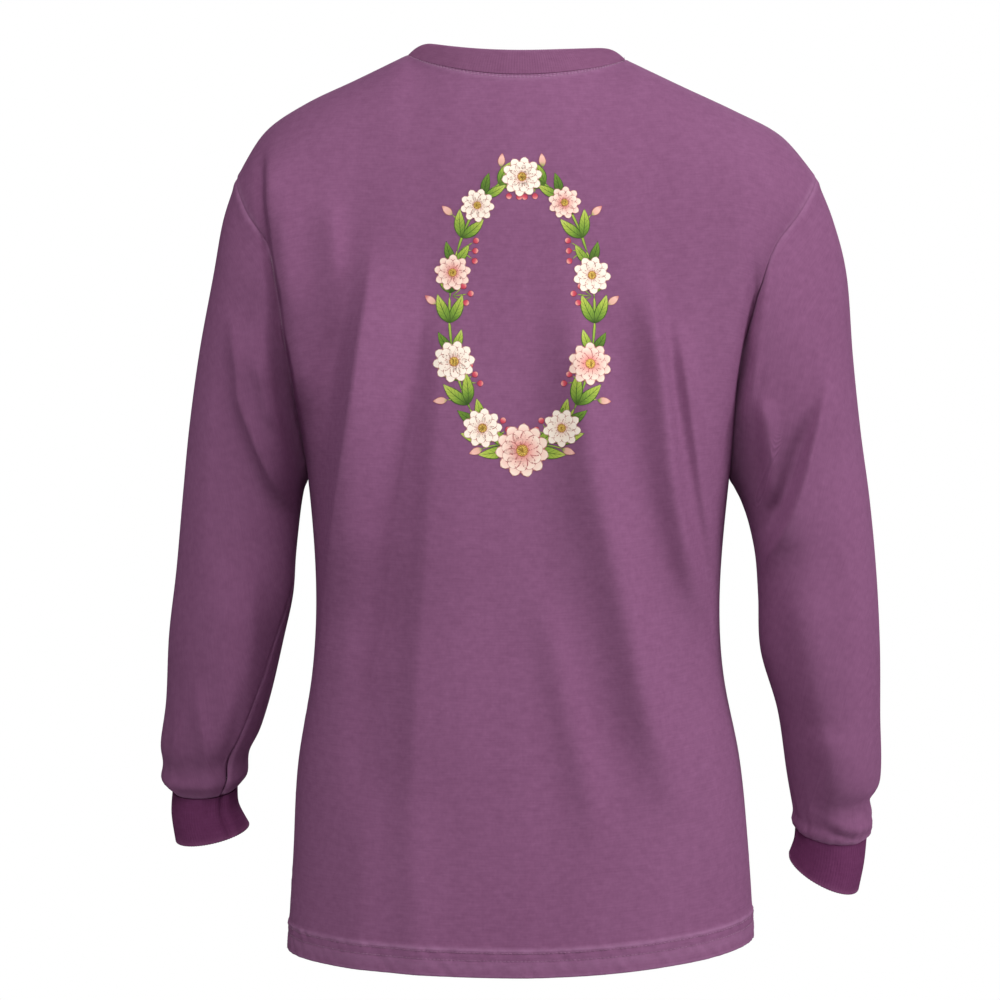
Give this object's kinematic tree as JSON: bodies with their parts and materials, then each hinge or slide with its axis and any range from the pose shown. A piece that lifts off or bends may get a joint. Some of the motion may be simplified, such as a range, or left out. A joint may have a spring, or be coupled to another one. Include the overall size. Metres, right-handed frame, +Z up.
{
  "type": "long-sleeve t-shirt",
  "caption": "Long-sleeve crew-neck T-shirt in its worn shape, hollow, with rib collar and cuffs, a hemmed body and a printed garland on the back.",
  "frame": {"origin": "on the centre line, level with the top of the shoulder seams where they meet the collar", "axes": "+Z up the spine, +Y from the back of the shirt to its front, +X to the wearer's right"},
  "size_m": [0.5781, 0.2453, 0.7316],
  "materials": {
    "jersey": "garment-dyed cotton jersey, worn at the seams",
    "rib": "garment-dyed cotton rib knit",
    "thread": "dyed sewing thread",
    "tape": "twill tape",
    "print": "soft screen-print ink"
  },
  "bodies": {
    "root": {"back_panel": "jersey", "front_panel": "jersey", "print_ink": "print", "hem_thread_upper": "thread", "hem_thread_lower": "thread", "collar_rib": "rib", "collar_thread": "thread", "neck_tape": "tape", "left_sleeve": "jersey", "left_cuff_rib": "rib", "left_armhole_thread": "thread", "left_cuff_thread": "thread", "left_shoulder_thread": "thread", "left_side_thread": "thread", "left_sleeve_thread": "thread", "right_sleeve": "jersey", "right_cuff_rib": "rib", "right_armhole_thread": "thread", "right_cuff_thread": "thread", "right_shoulder_thread": "thread", "right_side_thread": "thread", "right_sleeve_thread": "thread"}
  },
  "joints": []
}
